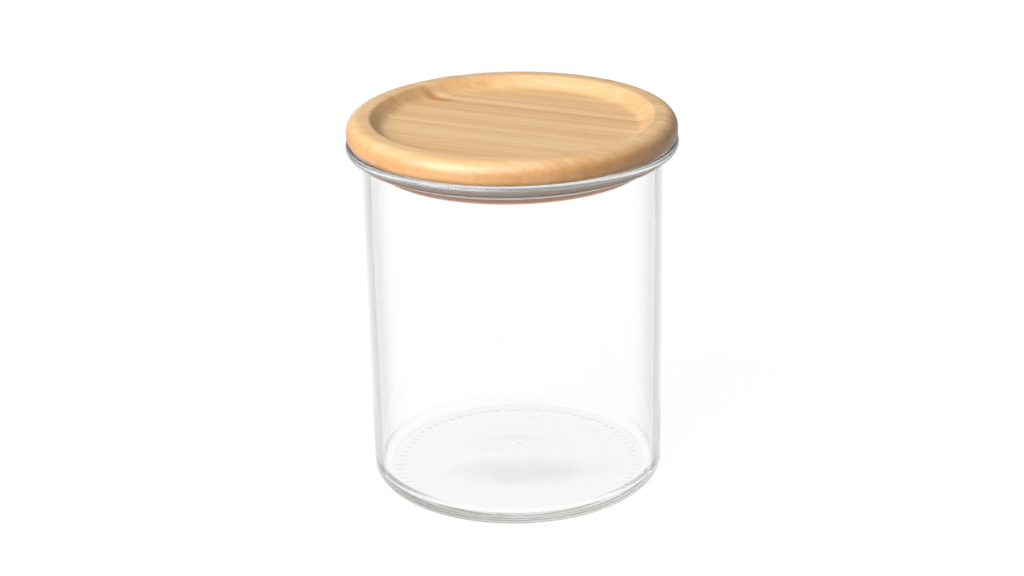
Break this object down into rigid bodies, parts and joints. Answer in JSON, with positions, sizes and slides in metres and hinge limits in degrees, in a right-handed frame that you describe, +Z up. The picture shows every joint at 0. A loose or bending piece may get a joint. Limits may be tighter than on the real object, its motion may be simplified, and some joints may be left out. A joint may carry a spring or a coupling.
{
  "type": "food storage jar",
  "caption": "Round clear glass food storage jar with a turned bamboo lid, whose recessed top and plug carry a soft ring that seals the mouth.",
  "frame": {"origin": "middle of the ring that the jar stands on, at the level of the surface under it", "axes": "+Z up along the jar's axis, towards the lid; the jar is round, so X and Y are free"},
  "size_m": [0.141, 0.141, 0.1637],
  "materials": {
    "glass": "clear polished soda-lime glass",
    "bamboo": "sanded laminated bamboo, satin lacquer",
    "silicone": "translucent white silicone, matt"
  },
  "bodies": {
    "root": {"glass_jar": "glass", "lid": "bamboo", "seal": "silicone"}
  },
  "joints": []
}
